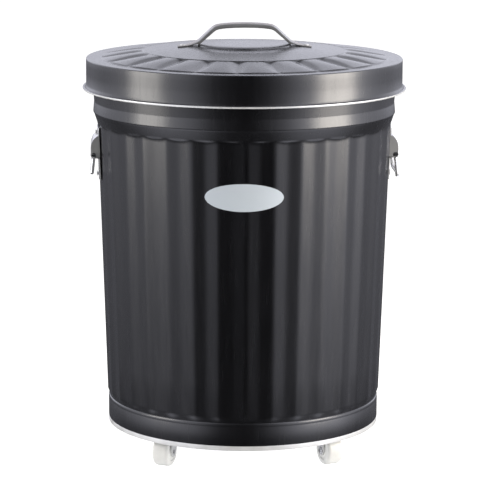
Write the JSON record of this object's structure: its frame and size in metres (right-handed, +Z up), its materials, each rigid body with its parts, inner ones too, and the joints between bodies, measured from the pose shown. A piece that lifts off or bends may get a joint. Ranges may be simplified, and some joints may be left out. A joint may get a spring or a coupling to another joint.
{
  "type": "trash can with lid",
  "caption": "Ribbed, tapered sheet-steel trash pail with a pleated lift-off lid, strap lid handle, swinging wire handles at the sides and swivel casters.",
  "frame": {"origin": "middle of the pail's outline on the floor, under its axis", "axes": "+Z up, -Y to the front, +X to the right side, where one wire handle hangs"},
  "size_m": [0.3898, 0.3898, 0.5197],
  "materials": {
    "black_paint": "satin",
    "galvanised_steel": "satin",
    "white_plastic": "matte"
  },
  "bodies": {
    "can": {"can_shell": "black_paint", "bottom_pan": "galvanised_steel", "left_ear": "galvanised_steel", "right_ear": "galvanised_steel", "ear_rivets": "galvanised_steel", "caster_plates": "galvanised_steel", "caster_king_pins": "galvanised_steel"},
    "lid": {"lid": "black_paint", "lid_handle": "galvanised_steel", "lid_handle_rivets": "galvanised_steel"},
    "left_bail": {"left_bail": "galvanised_steel"},
    "right_bail": {"right_bail": "galvanised_steel"},
    "front_right_swivel": {"caster_fork_front_right": "galvanised_steel", "caster_axle_front_right": "galvanised_steel"},
    "front_right_wheel": {"caster_wheel_front_right": "white_plastic"},
    "front_left_swivel": {"caster_fork_front_left": "galvanised_steel", "caster_axle_front_left": "galvanised_steel"},
    "front_left_wheel": {"caster_wheel_front_left": "white_plastic"},
    "back_left_swivel": {"caster_fork_back_left": "galvanised_steel", "caster_axle_back_left": "galvanised_steel"},
    "back_left_wheel": {"caster_wheel_back_left": "white_plastic"},
    "back_right_swivel": {"caster_fork_back_right": "galvanised_steel", "caster_axle_back_right": "galvanised_steel"},
    "back_right_wheel": {"caster_wheel_back_right": "white_plastic"}
  },
  "joints": [
    {"name": "lid_lift", "type": "slide", "parent": "can", "child": "lid", "axis": [0, 0, 1], "range_m": [0, 0.12]},
    {"name": "right_bail_hinge", "type": "hinge", "parent": "can", "child": "right_bail", "pos_m": [0.18172, 0, 0.3627], "axis": [0, -1, 0], "range_deg": [-9, 144]},
    {"name": "left_bail_hinge", "type": "hinge", "parent": "can", "child": "left_bail", "pos_m": [-0.18172, 0, 0.3627], "axis": [0, 1, 0], "range_deg": [-9, 144]},
    {"name": "front_right_swivel_turn", "type": "hinge", "parent": "can", "child": "front_right_swivel", "pos_m": [0.09362, -0.09362, 0.045], "axis": [0, 0, 1], "continuous": true},
    {"name": "front_right_wheel_spin", "type": "hinge", "parent": "front_right_swivel", "child": "front_right_wheel", "pos_m": [0.09891, -0.1055, 0.0175], "axis": [0.9135, 0.4067, 0], "continuous": true},
    {"name": "front_left_swivel_turn", "type": "hinge", "parent": "can", "child": "front_left_swivel", "pos_m": [-0.09362, -0.09362, 0.045], "axis": [0, 0, 1], "continuous": true},
    {"name": "front_left_wheel_spin", "type": "hinge", "parent": "front_left_swivel", "child": "front_left_wheel", "pos_m": [-0.09891, -0.1055, 0.0175], "axis": [0.9135, -0.4067, 0], "continuous": true},
    {"name": "back_left_swivel_turn", "type": "hinge", "parent": "can", "child": "back_left_swivel", "pos_m": [-0.09362, 0.09362, 0.045], "axis": [0, 0, 1], "continuous": true},
    {"name": "back_left_wheel_spin", "type": "hinge", "parent": "back_left_swivel", "child": "back_left_wheel", "pos_m": [-0.08752, 0.08214, 0.0175], "axis": [0.8829, 0.4695, 0], "continuous": true},
    {"name": "back_right_swivel_turn", "type": "hinge", "parent": "can", "child": "back_right_swivel", "pos_m": [0.09362, 0.09362, 0.045], "axis": [0, 0, 1], "continuous": true},
    {"name": "back_right_wheel_spin", "type": "hinge", "parent": "back_right_swivel", "child": "back_right_wheel", "pos_m": [0.08982, 0.08119, 0.0175], "axis": [0.9563, -0.2924, 0], "continuous": true}
  ]
}
